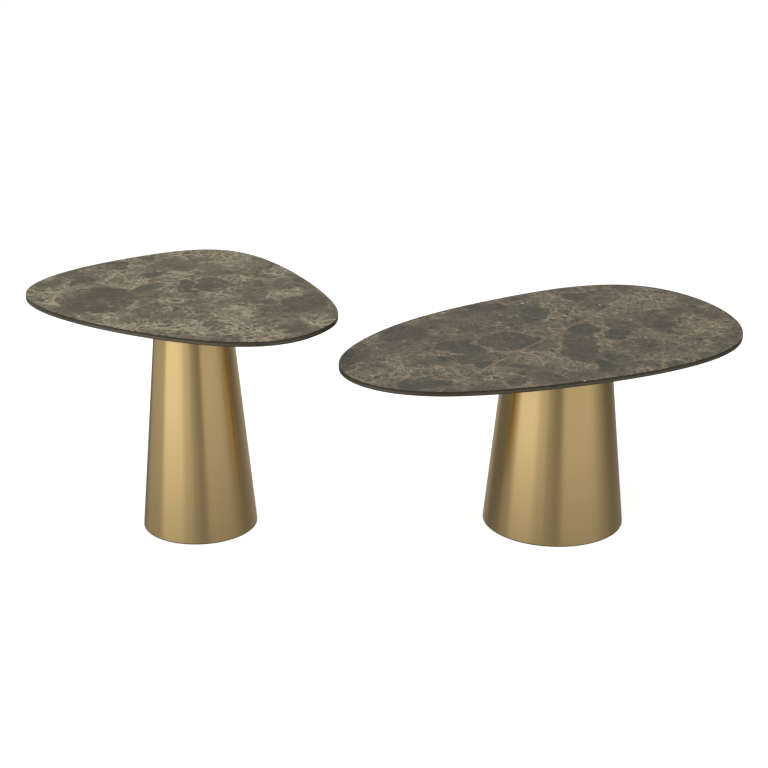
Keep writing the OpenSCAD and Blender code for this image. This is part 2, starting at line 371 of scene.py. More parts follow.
def rolled_cone(name, node, centre, wall, columns=192):
    """A conical tube of sheet metal with rounded rims and a UV map.

    The outer radius falls evenly with height; the inner one is less by the wall. The
    section goes over the upper rim, down the outside, round the lower rim and up the
    inside."""
    points = place_points(node)
    low, high = points[:, 2].min(), points[:, 2].max()
    reach = np.linalg.norm(points[:, :2] - centre, axis=1)
    foot = reach[points[:, 2] < low + wall / 10].max()
    neck = reach[points[:, 2] > high - wall / 10].max()
    soft = wall * 0.3
    section = rounded([(neck - wall, high, soft), (neck, high, soft),
                       (foot, low, soft), (foot - wall, low, soft)], steps=4)
    rings = carried(section[:, 0], section[:, 1], centre, columns, AT_THE_BACK).reshape(-1, 3)
    quads = grid_faces(len(section), columns, True)[:, ::-1]
    column = np.arange(len(rings)) % columns
    faces = np.arange(len(quads))
    turn = column[quads].astype(float)
    turn[(faces % columns == columns - 1)[:, None] & (turn == 0)] = columns
    up = (rings[quads][:, :, 2] - low) / (high - low)
    uv = np.stack([up, turn / columns], -1)
    return mesh_piece(name, rings, quads, None, uv)


def wall_of(node, centre):
    """A conical sheet's wall: the two radii at its lower rim, one less the other."""
    points = place_points(node)
    rim = points[points[:, 2] < points[:, 2].min() + 0.1 * MM]
    reach = np.linalg.norm(rim[:, :2] - centre, axis=1)
    return reach.max() - reach.min()


cones = {}
for table in TABLES:
    node = f"{table}_cone_shell"
    wall = wall_of(node, AXIS[table])
    piece = rolled_cone(f"{table}_brushed_cone", node, AXIS[table], wall)
    cones[table] = stand_in(piece, node, f"{table}_table")
    print(table, "cone wall", round(wall / MM, 3), "mm, faces", len(piece.data.polygons))

# %% [markdown]
# ## Rubber and plastic edge rings
#
# A rubber gasket lies between the cone's upper rim and the glass, and a plastic trim
# keeps its lower rim off the floor. Both are moulded rings with an L-shaped section: a
# flange over the sheet's edge and a lip behind it. The corners of the section are read
# from the CAD mesh, softened, and turned around the cone's axis.


# %% Edge rings
def clockwise(corners):
    """A section's corners in the order that makes its turned surface face outwards."""
    place = np.asarray(corners, float)
    after = np.roll(place, -1, 0)
    area = (place[:, 0] * after[:, 1] - after[:, 0] * place[:, 1]).sum()
    return place if area < 0 else place[::-1]


def radii_at(node, centre, z):
    """The smallest and largest radius of a round node's points at one height."""
    points = place_points(node)
    level = points[np.abs(points[:, 2] - z) < 0.05 * MM]
    reach = np.linalg.norm(level[:, :2] - centre, axis=1)
    return reach.min(), reach.max()


def edge_ring(name, node, centre, flange_up, soft):
    """A moulded ring with a flange over the sheet's edge and a lip behind the sheet."""
    levels = np.unique(place_points(node)[:, 2].round(5))
    if flange_up:
        levels = levels[::-1]
    face, step, end = levels[0], levels[1], levels[-1]
    (face_in, face_out), (root, step_out) = (radii_at(node, centre, z) for z in (face, step))
    end_in, end_out = radii_at(node, centre, end)
    corners = [(face_in, face, soft), (face_out, face, soft), (step_out, step, soft),
               (root, step, soft / 3), (end_out, end, soft), (end_in, end, soft)]
    return turned(name, rounded(clockwise(corners), steps=4), centre, columns=160, closed=True)


RING_ROUNDING = 0.4 * MM
details = {}
for table in TABLES:
    for ring, flange_up in (("neck_gasket", True), ("edge_trim", False)):
        node = f"{table}_{ring}"
        piece = edge_ring(f"{node}_ring", node, AXIS[table], flange_up, RING_ROUNDING)
        details[node] = stand_in(piece, node, f"{table}_table")
        print(node, "faces", len(piece.data.polygons))

# %% [markdown]
# ## Threads and hexagons
#
# A thread is a bar whose radius goes up and down once for each pitch, and once for each
# turn: crest, flank, root, flank. That is one formula of height and angle, so a whole
# threaded stem is a single grid. A hexagon is a formula too, a flat's distance over the
# cosine of the angle from the middle of the flat, and the turned chamfer is a cone that
# cuts its corners, so the smaller of both radii is the real surface.


# %% Threads and hexagons
THREAD_DEPTH = 0.61
HALF_FLAT = 1 / 16
FLANK = 3 / 8
END_FACE = 0.99
CHAMFER = math.radians(30)
COLUMNS = 48
TURN = angles(COLUMNS)


def thread_radius(height, angle, crest, pitch):
    """A right-hand thread: 0.61 of the pitch deep, with an eighth of the pitch flat on
    the crest and another in the root."""
    phase = (height[:, None] / pitch - angle[None] / (2 * math.pi)) % 1.0
    flank = np.clip((np.abs(phase - 0.5) - HALF_FLAT) / FLANK, 0, 1)
    return crest - THREAD_DEPTH * pitch * (1 - flank)


def hexagon_radius(height, angle, flat, low, high):
    """A hexagon bar, flat being half its width, with its ends chamfered by 30 degrees."""
    corner = flat / np.cos(angle % (math.pi / 3) - math.pi / 6)
    end = np.minimum(height - low, high - height)
    cone = flat * END_FACE + end / math.tan(CHAMFER)
    return np.minimum(corner[None], cone[:, None])


def swept(name, centre, heights, radii, closed=False):
    """A piece from its radius at each height (row) and angle (column), closed by poles
    on the axis, or closed on itself where it has a bore."""
    rings = carried(radii, heights, centre, COLUMNS)
    if closed:
        return ring_mesh(name, rings, True)
    return ring_mesh(name, rings, False, (*centre, heights[0]), (*centre, heights[-1]))


def plain(heights, radii):
    """Rows of a round bar that are the same for every angle."""
    rows = np.repeat(np.asarray(radii, float)[:, None], COLUMNS, 1)
    return np.asarray(heights, float), rows


def threaded(top, bottom, crest, pitch):
    """Rows of a thread from top to bottom, which starts and ends in a short chamfer."""
    heights = np.arange(top, bottom, -pitch / 8)
    radii = thread_radius(heights, TURN, crest, pitch)
    lead = crest - 0.7 * pitch + np.minimum(top - heights, heights - bottom)
    return heights, np.minimum(radii, lead[:, None])


def joined(*parts):
    """Several lists of rows, put one after another from top to bottom."""
    heights, radii = zip(*parts)
    return np.concatenate(heights), np.concatenate(radii)


print("a thread 10 mm long has", threaded(10 * MM, 0, 4 * MM, 1.25 * MM)[1].shape, "points")

# %% [markdown]
# ## Levelling feet
#
# Each foot is a threaded steel stem in a round nylon pad. The stem screws up and down in
# the ballast plate, turned by its hexagon, and the pad doesn't turn with it. A plain
# cylinder would do from afar, but these threads show from below when a foot is let down.


# %% Levelling feet
M8_PITCH = 1.25 * MM
FINE, SOFT = 0.2 * MM, 0.8 * MM
KEY_ROWS = 13


def foot_stem(name, node):
    """A levelling foot's stem: thread, hexagon for the key, and a pin into its pad."""
    low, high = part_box(node)
    centre = middle_of(node)
    levels = np.unique(place_points(node)[:, 2].round(5))
    flat = (high.y - low.y) / 2
    crest = radii_at(node, centre, levels[-1])[1]
    key = np.linspace(levels[2], levels[1], KEY_ROWS)
    hexagon = hexagon_radius(key, TURN, flat, levels[1], levels[2])
    chamfer = 0.5 * MM
    pin = plain((levels[1], levels[0] + chamfer, levels[0]), (crest, crest, crest - chamfer))
    thread = threaded(levels[-1], levels[2], crest, M8_PITCH)
    return swept(name, centre, *joined(thread, (key, hexagon), pin))


def foot_pad(name, node):
    """A round nylon pad with a socket for the stem and a shallow hollow under it."""
    low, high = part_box(node)
    centre = middle_of(node)
    socket_floor = np.unique(place_points(node)[:, 2].round(5))[1]
    socket, rim = radii_at(node, centre, high.z)
    hollow = 0.3 * MM
    corners = [(0, socket_floor, 0), (socket, socket_floor, FINE), (socket, high.z, hollow),
               (rim, high.z, SOFT), (rim, low.z, SOFT), (rim * 0.8, low.z, FINE),
               (rim * 0.75, low.z + hollow, FINE), (0, low.z + hollow, 0)]
    return turned(name, rounded(corners, steps=5, closed=False), centre, columns=64)


for table in TABLES:
    for k in range(1, 5):
        stem, pad = f"{table}_foot_stem_{k}", f"{table}_foot_pad_{k}"
        details[stem] = stand_in(foot_stem(f"{stem}_threaded", stem), stem, f"{table}_stem_{k}")
        details[pad] = stand_in(foot_pad(f"{pad}_turned", pad), pad, f"{table}_pad_{k}")
    print(table, "stem faces", len(details[stem].data.polygons))

# %% [markdown]
# ## Tie rod, nut and washer
#
# One long rod pulls the ballast plate up against the cone and the top down on it. Only
# its two ends carry a thread, as on a real stud, so its middle needs just two rings. The
# nut is a hexagon outside and a plain bore inside, one section closed on itself.


# %% Tie rod, nut and washer
M12_PITCH = 1.75 * MM
THREAD_RUN = 30 * MM
COUNTERSINK = 0.6 * MM
NUT_ROWS = 17


def tie_rod(name, node, centre):
    """A plain bar with a thread at each end."""
    low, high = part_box(node)
    crest = (high.x - low.x) / 2
    upper, lower = high.z - THREAD_RUN, low.z + THREAD_RUN
    rows = joined(threaded(high.z, upper, crest, M12_PITCH), plain((upper, lower), (crest, crest)),
                  threaded(lower, low.z, crest, M12_PITCH))
    return swept(name, centre, *rows)


def rod_nut(name, node, centre):
    """A hexagon nut with chamfered ends and a countersunk bore."""
    low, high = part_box(node)
    flat = (high.y - low.y) / 2
    bore = radii_at(node, centre, low.z)[0]
    key = np.linspace(high.z, low.z, NUT_ROWS)
    outside = (key, hexagon_radius(key, TURN, flat, low.z, high.z))
    inside = plain((low.z, low.z + COUNTERSINK, high.z - COUNTERSINK, high.z),
                   (bore + COUNTERSINK, bore, bore, bore + COUNTERSINK))
    return swept(name, centre, *joined(outside, inside), closed=True)


def washer_disc(name, node, centre):
    """A flat ring, rounder on its rim than in its bore."""
    low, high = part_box(node)
    bore, rim = radii_at(node, centre, low.z)
    inner, outer = 0.3 * MM, 0.5 * MM
    corners = clockwise([(bore, low.z, inner), (rim, low.z, outer),
                         (rim, high.z, outer), (bore, high.z, inner)])
    return turned(name, rounded(corners, steps=4), centre, columns=64, closed=True)


for table in TABLES:
    for what, make, kind in (("tie_rod", tie_rod, "threaded"), ("rod_nut", rod_nut, "hexagon"),
                             ("rod_washer", washer_disc, "turned")):
        node = f"{table}_{what}"
        piece = make(f"{node}_{kind}", node, AXIS[table])
        details[node] = stand_in(piece, node, f"{table}_table")
        print(node, "faces", len(piece.data.polygons))

# %% [markdown]
# ## The ballast plates
#
# A thick steel disc with holes for the feet and a pocket for the nut. Its shape is
# right in the CAD model, so a copy of that mesh is enough. Its loose triangles are
# merged first, because a bevel needs faces that share their edges.


# %% Ballast plates
MERGED_WITHIN = 0.001 * MM
BALLAST_ROUNDING = 0.8 * MM
FLAT_WITHIN = math.radians(1)
SHARP_FROM = math.radians(40)


def softened_copy(name, node, width):
    """A merged copy of a CAD node's mesh with all its sharp edges bevelled."""
    mesh = frame["nodes"][node].data.copy()
    mesh.name = name
    mesh.materials.clear()
    work = bmesh.new()
    work.from_mesh(mesh)
    bmesh.ops.remove_doubles(work, verts=work.verts, dist=MERGED_WITHIN)
    bmesh.ops.dissolve_limit(work, angle_limit=FLAT_WITHIN, verts=work.verts, edges=work.edges)
    work.to_mesh(mesh)
    work.free()
    piece = bpy.data.objects.new(name, mesh)
    scene.collection.objects.link(piece)
    bevel = piece.modifiers.new("softened", "BEVEL")
    bevel.width = width
    bevel.segments = 2
    bevel.limit_method = "ANGLE"
    bevel.angle_limit = SHARP_FROM
    return piece


for table in TABLES:
    node = f"{table}_ballast_plate"
    piece = softened_copy(f"{node}_softened", node, BALLAST_ROUNDING)
    details[node] = stand_in(piece, node, f"{table}_table")
    print(table, "ballast points", len(details[node].data.vertices))

# %% [markdown]
# ## Finishes from nodes
#
# A finish is a small graph of shader nodes. The graphs could be laid out by hand in the
# Shader Editor, but written as code they can be read, and made again for the other
# table. This helper adds a node, sets its options, and fills its inputs with numbers or
# with other nodes' outputs.


# %% Finish helper
class Finish:
    """A material with one Principled shader, and short ways to add nodes to it."""

    def __init__(self, name, **sockets):
        self.material = bpy.data.materials.new(name)
        self.material.use_nodes = True
        self.tree = self.material.node_tree
        self.shader = self.tree.nodes["Principled BSDF"]
        for socket, value in sockets.items():
            self.set(socket.replace("_", " "), value)

    def set(self, socket, value):
        """Fills one of the shader's sockets with a value or an output."""
        self.fill(self.shader.inputs[socket], value)

    def fill(self, socket, value):
        """Links an output to a socket, or writes a plain value into it."""
        if isinstance(value, bpy.types.NodeSocket):
            self.tree.links.new(value, socket)
        else:
            socket.default_value = value

    def add(self, kind, inputs=None, **options):
        """Adds a node of a kind, with its options and inputs, and returns it."""
        node = self.tree.nodes.new("ShaderNode" + kind)
        for option, value in options.items():
            setattr(node, option, value)
        for key, value in (inputs or {}).items():
            self.fill(node.inputs[key], value)
        return node

    def places(self):
        """The Object coordinates, in metres."""
        return self.add("TexCoord").outputs["Object"]

    def split(self, vector):
        """A vector's three parts."""
        return self.add("SeparateXYZ", {"Vector": vector}).outputs

    def math(self, operation, a, b=0.0, clamp=False):
        """One arithmetic step."""
        step = self.add("Math", {0: a, 1: b}, operation=operation, use_clamp=clamp)
        return step.outputs["Value"]

    def times(self, product, *factors):
        """The product of numbers and outputs."""
        for factor in factors:
            product = self.math("MULTIPLY", product, factor)
        return product

    def vector(self, operation, a, b):
        """One step on a whole vector; b is a number where the vector is scaled."""
        second = "Scale" if operation == "SCALE" else 1
        return self.add("VectorMath", {0: a, second: b}, operation=operation).outputs[0]

    def noise(self, where, scale, detail=4.0, rough=0.55, output="Fac"):
        """Fractal noise around 0.5."""
        inputs = {"Vector": where, "Scale": scale, "Detail": detail, "Roughness": rough}
        return self.add("TexNoise", inputs).outputs[output]

    def span(self, value, low, high, to_low=0.0, to_high=1.0, smooth=True):
        """Maps low..high to to_low..to_high, held at both ends."""
        kind = "SMOOTHSTEP" if smooth else "LINEAR"
        inputs = {"Value": value, "From Min": low, "From Max": high,
                  "To Min": to_low, "To Max": to_high}
        return self.add("MapRange", inputs, interpolation_type=kind).outputs["Result"]

    def mix(self, share, a, b):
        """Colour a turned to b by share; a colour mix has its sockets at 0, 6 and 7."""
        return self.add("Mix", {0: share, 6: a, 7: b}, data_type="RGBA").outputs[2]

    def bump(self, height, strength, distance):
        """A bumped normal from a height in 0..1."""
        inputs = {"Height": height, "Strength": strength, "Distance": distance}
        return self.add("Bump", inputs).outputs["Normal"]


def tone(red, green, blue):
    """A linear colour from the display values 0..255 that a paint chart gives."""
    shown = np.array((red, green, blue)) / 255
    linear = np.where(shown < 0.04045, shown / 12.92, ((shown + 0.055) / 1.055) ** 2.4)
    return (*linear.tolist(), 1.0)


print("a middle grey of 128 is", round(tone(128, 128, 128)[0], 3), "in linear light")

# %% [markdown]
# ## Dark marble
#
# The sheet is printed and glazed to look like a dark brecciated marble: rounded lumps
# of brown and green-grey stone in a ground that is scratched all over with short beige
# veins, and a few pale flecks. One Voronoi pattern would look like a dry lake bed. So
# the lumps are drawn one by one, as ellipses with ragged edges, the way a designer of
# printed marble places them, and noise scatters the rest. The curling veins are lines
# along which fractal noise passes through its middle value. The others are cell edges,
# bent by noise and broken up, so that no net of straight sides is left.


# %% Stone patterns
def warped(f, source, scale, reach, detail=6.0):
    """Coordinates moved by up to half of reach metres, by noise of that scale."""
    push = f.noise(source, scale, detail, 0.62, output="Color")
    centred = f.vector("SUBTRACT", push, (0.5, 0.5, 0.5))
    return f.vector("ADD", source, f.vector("SCALE", centred, reach))


def tangle(f, source, scale, wide):
    """Curling lines where fractal noise passes through 0.5, as a share 0..1."""
    wave = f.noise(source, scale, 3.0, 0.5)
    off = f.math("ABSOLUTE", f.math("SUBTRACT", wave, 0.5))
    return f.span(off, 0.0, wide, 1.0, 0.0)


def net(f, source, per_metre, wide):
    """Lines of a width in metres along the edges of Voronoi cells, as a share 0..1."""
    inputs = {"Vector": source, "Scale": per_metre}
    edge = f.add("TexVoronoi", inputs, feature="DISTANCE_TO_EDGE").outputs["Distance"]
    return f.span(edge, 0.0, wide * per_metre, 1.0, 0.0)


def cells(f, source, per_metre, **options):
    """Each place's distance from its Voronoi cell's centre, and the cell's three random
    numbers."""
    cell = f.add("TexVoronoi", {"Vector": source, "Scale": per_metre}, **options)
    return cell.outputs["Distance"], f.add("SeparateColor", {"Color": cell.outputs["Color"]}).outputs


def scattered(f, source, per_metre, reach, low):
    """Small round lumps around the chosen centres of a Voronoi pattern.

    A lump is there where its random number is over low; reach is its radius in cells."""
    distance, lot = cells(f, source, per_metre)
    inside = f.span(distance, reach - 0.09, reach + 0.05, 1.0, 0.0)
    return f.times(inside, f.span(lot[0], low, low + 0.02)), lot[1]


def ellipse(f, source, centre, half, soft):
    """A round patch: 1 inside an ellipse, falling to 0 around its edge.

    The distance is the length of (place - centre) / half, which is 1 on the ellipse."""
    moved = f.vector("SUBTRACT", source, (*centre, 0.0))
    scaled = f.vector("MULTIPLY", moved, (1 / half[0], 1 / half[1], 0.0))
    reach = f.add("VectorMath", {0: scaled}, operation="LENGTH").outputs["Value"]
    return f.span(reach, 1.0 - soft, 1.0 + soft, 1.0, 0.0)


def patches(f, source, table, rows, soft):
    """The strongest share of several ellipses, given in millimetres from the axis."""
    total = 0.0
    for x, y, half_x, half_y in rows:
        centre = AXIS[table] + np.array((x, y)) * MM
        one = ellipse(f, source, centre.tolist(), (half_x * MM, half_y * MM), soft)
        total = f.math("MAXIMUM", total, one)
    return total


print("patterns", [pattern.__name__ for pattern in (tangle, net, scattered, patches)])

# %% [markdown]
# ## The shares of the stone
#
# A share is a number from 0 to 1 that says how much of a layer shows at a place. Several
# layers need the same ones: where the lumps are, where the ground between them lies
# open, and which zones are busy. They are worked out once here and passed on by name.


# %% Shares
def stone_shares(f, table, figure):
    """The coordinates, lumps and zones that several layers of the marble read."""
    where = f.places()
    bent = warped(f, warped(f, where, scale=8.0, reach=0.09), scale=30.0, reach=0.05)
    ragged = warped(f, bent, scale=90.0, reach=0.016)
    loose = warped(f, where, scale=9.0, reach=0.07, detail=1.0)
    brown = patches(f, ragged, table, figure["brown"], soft=0.20)
    green = patches(f, ragged, table, figure["green"], soft=0.24)
    pale = patches(f, bent, table, figure["pale"], soft=0.55)
    small, kind = scattered(f, ragged, per_metre=24.0, reach=0.40, low=0.40)
    smaller, _ = scattered(f, ragged, per_metre=44.0, reach=0.40, low=0.45)
    lumps = f.math("MAXIMUM", brown, green)
    open_ground = f.math("SUBTRACT", 1.0, f.times(lumps, 0.80))
    print(table, "lumps", len(figure["brown"]) + len(figure["green"]))
    return {
        "where": where, "bent": bent, "open": open_ground, "lumps": lumps,
        "curled": warped(f, loose, scale=45.0, reach=0.018, detail=2.0),
        "brown": brown, "green": green, "pale": f.times(pale, open_ground),
        "small": small, "smaller": smaller, "kind": kind,
        "zone": f.noise(where, scale=10.0, detail=5.0, rough=0.6),
        "grain": f.noise(where, scale=230.0, detail=5.0, rough=0.7),
    }


# %% [markdown]
# ## The layers of the stone
#
# The marble is built up as a printer lays down inks. First come the ground's clouds and
# the lumps, then the veins, the pale rims of the lumps, the one long vein and last the
# white flecks. Each layer is one mix: a colour over what is there, by a share. One large
# formula could hold it all, but layers can be switched off one at a time to judge them.


# %% Layers
def ground_and_lumps(f, tones, share):
    """Clouds of two tones, then scattered and placed lumps, then the pale patches."""
    clouds = f.noise(share["bent"], scale=14.0, detail=7.0, rough=0.62)
    stone = f.mix(f.span(clouds, 0.38, 0.62), tones["base"], tones["warm"])
    rock = f.mix(f.span(share["kind"], 0.45, 0.55), tones["dark"], tones["green"])
    for spot, strength, colour in ((f.times(share["smaller"], share["open"]), 0.62, tones["dark"]),
                                   (f.times(share["small"], share["open"]), 0.72, rock),
                                   (share["brown"], 0.46, tones["dark"]),
                                   (share["green"], 0.54, tones["green"]),
                                   (share["pale"], 0.10, tones["vein"])):
        stone = f.mix(f.times(spot, strength), stone, colour)
    return stone


def veined(f, tones, share, stone):
    """Veins of five kinds, most of them in the busy zones and the pale patches.

    Some kinds show where a medium noise is high, and the others where it is low."""
    other = f.noise(share["bent"], scale=28.0, detail=3.0, rough=0.6)
    gaps, spread = f.span(other, 0.40, 0.60), f.span(other, 0.60, 0.40)
    busy = f.math("ADD", f.span(share["zone"], 0.44, 0.60, 0.16, 0.95), f.times(share["pale"], 0.5))
    busy = f.math("MULTIPLY", busy, share["open"], clamp=True)
    for pattern, scale, wide, part, strength in ((net, 16.0, 0.0042, gaps, 0.95),
                                                 (net, 38.0, 0.0030, spread, 1.0),
                                                 (net, 86.0, 0.0019, gaps, 0.85),
                                                 (tangle, 15.0, 0.018, spread, 0.90),
                                                 (tangle, 40.0, 0.045, spread, 0.60)):
        line = pattern(f, share["curled"], scale, wide)
        stone = f.mix(f.times(line, part, busy, strength), stone, tones["vein"])
    return stone


def rimmed(f, tones, share, stone):
    """Pale rims along the edges of the lumps, in the busy zones only."""
    for lump, strength in (("lumps", 0.55), ("small", 0.50), ("smaller", 0.40)):
        rim = f.times(f.span(share[lump], 0.05, 0.35), f.span(share[lump], 0.80, 0.35),
                      f.span(share["zone"], 0.40, 0.55), strength)
        stone = f.mix(rim, stone, tones["vein"])
    return stone


def long_vein(f, origin, point, angle, wide):
    """A nearly straight, broken vein through a point, as a share 0..1.

    The distance from its line is the place's part along the line's normal, and noise
    moves it to and fro."""
    where = f.places()
    px, py = origin + np.array(point) * MM
    x, y, _ = f.split(where)
    across = f.times(f.math("SUBTRACT", x, px), -math.sin(angle))
    along = f.times(f.math("SUBTRACT", y, py), math.cos(angle))
    wander = f.math("SUBTRACT", f.noise(where, scale=16.0, detail=7.0, rough=0.65), 0.5)
    off = f.math("ADD", f.math("ADD", across, along), f.times(wander, 0.03))
    line = f.span(f.math("ABSOLUTE", off), 0.0, wide * MM, 1.0, 0.0)
    gaps = f.span(f.noise(where, scale=17.0, detail=5.0, rough=0.6), 0.40, 0.56)
    return f.times(line, gaps, 0.72)


def flecked(f, tones, share, stone, rarity):
    """White flecks at the centres of the cells whose random number is over rarity.

    The cells are flat ones, so that each centre lies on the face of the top."""
    bent = warped(f, share["where"], scale=130.0, reach=0.020)
    distance, lot = cells(f, bent, 24.0, voronoi_dimensions="2D")
    fleck = f.times(f.span(distance, 0.03, 0.11, 1.0, 0.0), f.span(lot[2], rarity, rarity + 0.01),
                    share["open"], f.span(lot[0], 0, 1, 0.25, 0.95))
    return f.mix(fleck, stone, tones["fleck"])


print("layers", [layer.__name__ for layer in (ground_and_lumps, veined, rimmed, flecked)])

# %% [markdown]
# ## Glaze and edge
#
# A fine grain and a coarser mottle darken and lighten the finished stone. The print ends
# where the face does: the ground edge is plain ceramic, dark and matt near the face, and
# shinier lower down, where its colour is painted lighter as painted light. Two materials
# could share the sheet, but one is enough, because the height of a place tells the face
# from the edge.


# %% Marble
LONG_VEIN_TONE = tone(152, 136, 110)


def glazed(f, table, tones, share, stone):
    """Sets colour, roughness and bump: the print on the face, bare ceramic on the edge, coloured
    lighter lower down as painted light.
    """
    mottle = f.noise(share["curled"], scale=110.0, detail=3.0, rough=0.6)
    shade = f.times(f.span(share["grain"], 0.25, 0.75, 0.80, 1.20, smooth=False),
                    f.span(mottle, 0.25, 0.75, 0.72, 1.28, smooth=False))
    face = FACE[table]
    height = f.split(share["where"])[2]
    on_face = f.span(height, face - 0.5 * MM, face - 0.2 * MM)
    # Painted light: under a dark band near the face, the edge is coloured lighter lower down, as if
    # lit.
    upper = f.span(height, face - 2.6 * MM, face - 1.6 * MM)
    edge = f.mix(upper, tones["painted_light_edge"], tones["edge"])
    sheen = f.span(share["grain"], 0.3, 0.7, 0.44, 0.56)
    f.set("Base Color", f.mix(on_face, edge, f.vector("SCALE", stone, shade)))
    f.set("Roughness", f.times(sheen, f.span(upper, 0.0, 1.0, 0.55, 1.0)))
    f.set("Normal", f.bump(share["grain"], 0.05, 0.0003))


def marble(name, table, tones, figure):
    """Dark brecciated marble on Object coordinates.

    figure holds the places of the brown lumps, the green lumps and the pale, veined
    patches, how rare flecks are, and the line of the one long vein, if there is one."""
    f = Finish(name, IOR=1.45, Specular_IOR_Level=0.32)
    share = stone_shares(f, table, figure)
    stone = ground_and_lumps(f, tones, share)
    stone = rimmed(f, tones, share, veined(f, tones, share, stone))
    if "streak" in figure:
        stone = f.mix(long_vein(f, AXIS[table], *figure["streak"]), stone, LONG_VEIN_TONE)
    glazed(f, table, tones, share, flecked(f, tones, share, stone, figure["flecks"]))
    return f.material


print("faces at", {table: round(FACE[table], 4) for table in TABLES})

# %% [markdown]
# ## The two figures
#
# Each row is one patch of stone: x and y of its middle and its half sizes, in
# millimetres from the cone's axis. They are placed one by one, like the stones of a
# terrazzo drawing, and the noise above makes their edges ragged. The long vein is a
# point, an angle and a half width. A scatter of random lumps would be quicker, but a
# printed sheet is chosen for where its large stones lie.

# %% Figures
FIGURES = {
    "side": {
        "brown": ((-180, -40, 85, 95), (-20, 45, 25, 40), (5, -50, 20, 20), (235, -60, 45, 60),
                  (40, 60, 40, 50), (-245, 80, 15, 25), (-165, 200, 30, 35), (220, -220, 35, 35)),
        "green": ((-100, 130, 25, 25), (115, 70, 25, 20), (160, -55, 20, 25), (65, -195, 20, 25),
                  (-110, 250, 20, 20), (-95, 40, 25, 25)),
        "pale": ((-40, 110, 40, 30), (-70, 270, 20, 20), (95, -125, 30, 65), (50, -15, 40, 35),
                 (-270, -5, 15, 85), (-130, -145, 25, 25), (75, 215, 55, 60), (30, -245, 25, 25),
                 (-50, -215, 25, 25), (150, -260, 60, 20)),
        "flecks": 0.965,
    },
    "coffee": {
        "brown": ((-105, -40, 65, 60), (-215, -70, 35, 40), (40, -70, 40, 95), (-320, 20, 50, 50),
                  (-105, -260, 30, 35), (-145, 190, 55, 35), (225, 80, 25, 35)),
        "green": ((-35, 145, 35, 45), (70, 275, 35, 30), (75, -175, 25, 35), (210, -185, 30, 30),
                  (-280, -285, 45, 30), (55, 45, 35, 35), (-165, -175, 20, 30), (120, 10, 30, 30)),
        "pale": ((5, 35, 20, 50), (-325, -170, 25, 45), (95, 65, 20, 50), (10, 265, 45, 30),
                 (230, 255, 50, 40), (-205, -275, 30, 30), (160, 190, 35, 55), (180, -135, 20, 30),
                 (45, -170, 15, 40), (305, 45, 40, 70), (-65, -130, 30, 40)),
        "streak": ((8, 28), math.radians(54), 5.0),
        "flecks": 0.92,
    },
}
# Each tone twice: the side table's, then the coffee table's.
TONES = {
    "base": ((92, 86, 71), (88, 84, 71)), "warm": ((105, 98, 81), (100, 92, 77)),
    "dark": ((80, 73, 61), (73, 71, 61)), "green": ((76, 78, 66), (68, 73, 64)),
    "vein": ((178, 165, 137), (158, 143, 119)), "fleck": ((222, 214, 196), (226, 220, 205)),
    # The lighter edge tone is painted light on the lower part of the ceramic's edge.
    "edge": ((46, 41, 29), (42, 38, 27)), "painted_light_edge": ((74, 69, 55), (66, 62, 50)),
}
for number, table in enumerate(TABLES):
    tones = {name: tone(*pair[number]) for name, pair in TONES.items()}
    stone = marble(f"{table}_dark_marble", table, tones, FIGURES[table])
    tops[f"{table}_ceramic_sheet"].data.materials.append(stone)
    print(table, "marble nodes", len(stone.node_tree.nodes))

# %% [markdown]
# ## Brushed brass
#
# Brushing leaves thousands of fine grooves, all running around the cone. Across the
# grooves a reflection smears out, along them it stays sharp, which turns a soft lamp
# into a clean upright band. The Principled shader's anisotropy does this; the tangent
# comes from the UV map, so it follows the metal.


# %% Brass
BRASS_TONES = ((0.815, 0.595, 0.275, 1), (0.85, 0.63, 0.30, 1))
BRASS_TINT = (0.79, 0.575, 0.27, 1)
WELD_TONE = (0.42, 0.30, 0.15, 1)


def brushed_brass(name, turns, slope):
    """Brass brushed around a cone: noise stretched along the grooves.

    The way around is laid on a circle, so that the grooves meet at the seam."""
    f = Finish(name, Metallic=1.0, Roughness=0.3, Anisotropic=0.85)
    up, way, _ = f.split(f.add("UVMap", uv_map="around_and_up").outputs["UV"])
    angle = f.times(way, 2 * math.pi)
    ring = f.add("CombineXYZ", {0: f.times(f.math("COSINE", angle), turns),
                                1: f.times(f.math("SINE", angle), turns),
                                2: f.times(up, slope)}).outputs[0]
    grooves = f.noise(ring, scale=1.0, detail=3.0, rough=0.6)
    slow = f.noise(f.places(), scale=5.0, detail=2.0)
    seam = f.math("MINIMUM", way, f.math("SUBTRACT", 1.0, way))
    weld = f.span(seam, 0.0004, 0.0016, 0.6, 0.0)
    bright = f.mix(f.span(grooves, 0.3, 0.7), *BRASS_TONES)
    sheet = f.mix(f.span(slow, 0.3, 0.7, 0.0, 0.2), bright, BRASS_TINT)
    f.set("Base Color", f.mix(weld, sheet, WELD_TONE))
    f.set("Roughness", f.span(grooves, 0.25, 0.75, 0.275, 0.315))
    f.set("Normal", f.bump(grooves, 0.006, 0.0002))
    f.set("Tangent", f.add("Tangent", direction_type="UV_MAP", uv_map="around_and_up").outputs[0])
    return f.material


brass = brushed_brass("brushed_brass", turns=1.4, slope=700.0)
for cone in cones.values():
    cone.data.materials.append(brass)
print("brass nodes", len(brass.node_tree.nodes))
